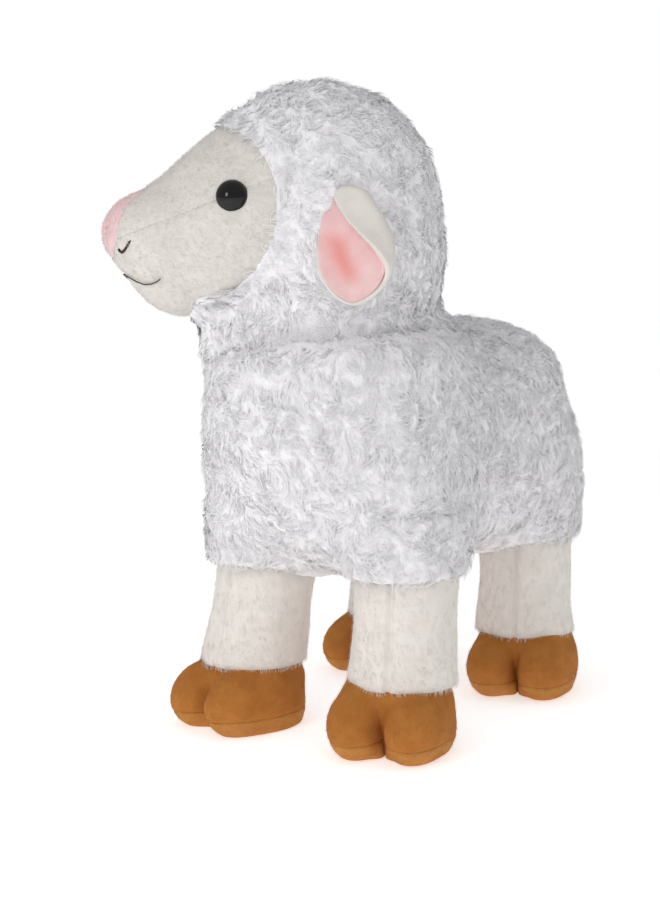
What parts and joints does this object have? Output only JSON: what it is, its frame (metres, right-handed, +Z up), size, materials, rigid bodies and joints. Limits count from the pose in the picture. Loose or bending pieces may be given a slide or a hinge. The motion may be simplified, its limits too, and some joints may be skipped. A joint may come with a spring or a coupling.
{
  "type": "plush sheep",
  "caption": "Standing plush lamb: curly fur body on stuffed legs with cloven cloth hooves, and a turned head with a smooth face, hanging ears and a small tail.",
  "frame": {"origin": "middle of the foot of the whole toy's box", "axes": "+Z up, the sheep's body faces -Y, and its own left side is at +X"},
  "size_m": [0.1604, 0.2712, 0.3193],
  "materials": {
    "curly_fur": "white curly long pile fur cloth",
    "short_plush": "cream short plush",
    "pink_plush": "pale pink short plush",
    "hoof_suede": "caramel brushed suede cloth",
    "polyester_fibre": "loose white polyester filling",
    "black_plastic": "gloss black",
    "white_plastic": "matt white",
    "brown_thread": "dark brown embroidery thread"
  },
  "bodies": {
    "torso": {"body_cover": "curly_fur", "body_filling": "polyester_fibre"},
    "tail": {"tail": "curly_fur"},
    "neck": {"neck_filling": "polyester_fibre"},
    "head": {"head_cover": "curly_fur", "face_bridge": "short_plush", "cheek_left": "short_plush", "cheek_right": "short_plush", "nose_patch": "pink_plush", "head_filling": "polyester_fibre", "eye_left": "black_plastic", "eye_washer_left": "white_plastic", "eye_right": "black_plastic", "eye_washer_right": "white_plastic", "nostril_stitch_left": "brown_thread", "mouth_stitch_left": "brown_thread", "nostril_stitch_right": "brown_thread", "mouth_stitch_right": "brown_thread"},
    "ear_left": {"ear_outer_left": "short_plush", "ear_lining_left": "pink_plush"},
    "ear_right": {"ear_outer_right": "short_plush", "ear_lining_right": "pink_plush"},
    "leg_front_left": {"hoof_upper_front_left": "hoof_suede", "hoof_sole_front_left": "hoof_suede", "leg_sleeve_front_left": "short_plush", "leg_filling_front_left": "polyester_fibre"},
    "leg_front_right": {"hoof_upper_front_right": "hoof_suede", "hoof_sole_front_right": "hoof_suede", "leg_sleeve_front_right": "short_plush", "leg_filling_front_right": "polyester_fibre"},
    "leg_hind_left": {"hoof_upper_hind_left": "hoof_suede", "hoof_sole_hind_left": "hoof_suede", "leg_sleeve_hind_left": "short_plush", "leg_filling_hind_left": "polyester_fibre"},
    "leg_hind_right": {"hoof_upper_hind_right": "hoof_suede", "hoof_sole_hind_right": "hoof_suede", "leg_sleeve_hind_right": "short_plush", "leg_filling_hind_right": "polyester_fibre"}
  },
  "joints": [
    {"name": "head_turn", "type": "hinge", "parent": "torso", "child": "neck", "pos_m": [0.00475, -0.04611, 0.2355], "axis": [0, 0, 1], "range_deg": [-30, 30], "stiffness_Nm_per_rad": 0.6},
    {"name": "head_nod", "type": "hinge", "parent": "neck", "child": "head", "pos_m": [0.00475, -0.04611, 0.2355], "axis": [0.7314, -0.682, 0], "range_deg": [-12, 5], "stiffness_Nm_per_rad": 0.8},
    {"name": "ear_left_lift", "type": "hinge", "parent": "head", "child": "ear_left", "pos_m": [0.04861, -0.08678, 0.26253], "axis": [-0.682, -0.7314, 0], "range_deg": [0, 60], "stiffness_Nm_per_rad": 0.02},
    {"name": "ear_right_lift", "type": "hinge", "parent": "head", "child": "ear_right", "pos_m": [-0.03889, -0.00519, 0.26253], "axis": [0.682, 0.7314, 0], "range_deg": [0, 60], "stiffness_Nm_per_rad": 0.02},
    {"name": "tail_lift", "type": "hinge", "parent": "torso", "child": "tail", "pos_m": [0.00475, 0.11715, 0.16887], "axis": [1, 0, 0], "range_deg": [0, 60], "stiffness_Nm_per_rad": 0.02},
    {"name": "leg_front_left_swing", "type": "hinge", "parent": "torso", "child": "leg_front_left", "pos_m": [0.04775, -0.05811, 0.0995], "axis": [1, 0, 0], "range_deg": [-12, 12], "stiffness_Nm_per_rad": 1.5},
    {"name": "leg_front_right_swing", "type": "hinge", "parent": "torso", "child": "leg_front_right", "pos_m": [-0.03825, -0.05811, 0.0995], "axis": [1, 0, 0], "range_deg": [-12, 12], "stiffness_Nm_per_rad": 1.5},
    {"name": "leg_hind_left_swing", "type": "hinge", "parent": "torso", "child": "leg_hind_left", "pos_m": [0.04775, 0.07789, 0.0995], "axis": [1, 0, 0], "range_deg": [-12, 12], "stiffness_Nm_per_rad": 1.5},
    {"name": "leg_hind_right_swing", "type": "hinge", "parent": "torso", "child": "leg_hind_right", "pos_m": [-0.03825, 0.07789, 0.0995], "axis": [1, 0, 0], "range_deg": [-12, 12], "stiffness_Nm_per_rad": 1.5}
  ]
}
